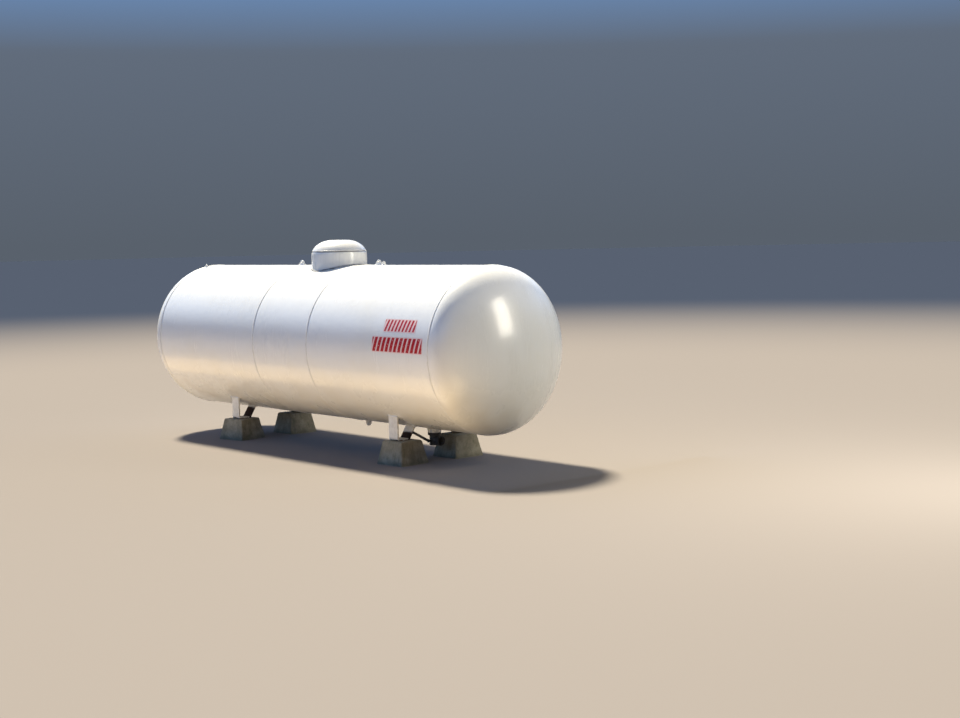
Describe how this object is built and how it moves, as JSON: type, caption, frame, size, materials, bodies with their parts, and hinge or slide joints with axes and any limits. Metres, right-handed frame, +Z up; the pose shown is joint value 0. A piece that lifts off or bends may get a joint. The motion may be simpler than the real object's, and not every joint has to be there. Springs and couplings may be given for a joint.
{
  "type": "horizontal pressure tank",
  "caption": "Horizontal pressure tank with dished heads, girth welds, a hinged valve hood on top and bent legs on precast concrete blocks.",
  "frame": {"origin": "on the ground under the middle of the tank", "axes": "+X along the tank towards the liquid outlet, -Y towards the front, +Z up"},
  "size_m": [4.115, 1.173, 1.587],
  "materials": {
    "tank_paint": "satin",
    "leg_paint": "satin, rusted at the foot",
    "concrete": "rough, weathered",
    "pin_steel": "satin",
    "valve_brass": "satin",
    "yellow_cap": "matte",
    "gauge_metal": "satin",
    "dial_face": "gloss",
    "wheel_paint": "satin",
    "valve_iron": "rough",
    "lever_steel": "satin"
  },
  "bodies": {
    "tank": {"shell_left": "tank_paint", "shell_middle": "tank_paint", "shell_right": "tank_paint", "head_left": "tank_paint", "head_right": "tank_paint", "weld_head_left": "tank_paint", "weld_mid_left": "tank_paint", "weld_mid_right": "tank_paint", "weld_head_right": "tank_paint", "leg_front_left": "leg_paint", "leg_front_right": "leg_paint", "leg_back_left": "leg_paint", "leg_back_right": "leg_paint", "block_front_left": "concrete", "block_front_right": "concrete", "block_back_left": "concrete", "block_back_right": "concrete", "hood_collar": "tank_paint", "collar_weld": "tank_paint", "hinge_ears": "tank_paint", "hinge_pin": "pin_steel", "relief_valve": "valve_brass", "relief_cap": "yellow_cap", "fill_valve": "valve_brass", "fill_cap": "yellow_cap", "vapour_valve": "valve_brass", "vapour_cap": "yellow_cap", "level_gauge": "gauge_metal", "gauge_dial": "dial_face", "service_valve": "valve_brass", "service_handwheel": "wheel_paint", "liquid_plug": "valve_brass", "lug_left": "tank_paint", "lug_right": "tank_paint", "top_coupling": "tank_paint", "head_lug": "tank_paint", "drain_coupling": "tank_paint", "outlet_nozzle": "tank_paint", "outlet_valve": "valve_iron", "outlet_lever": "lever_steel"},
    "lid": {"hood_lid": "tank_paint", "lid_hinge": "tank_paint"}
  },
  "joints": [
    {"name": "lid_hinge", "type": "hinge", "parent": "tank", "child": "lid", "pos_m": [0, 0.2285, 1.494], "axis": [-1, 0, 0], "range_deg": [0, 100]}
  ]
}
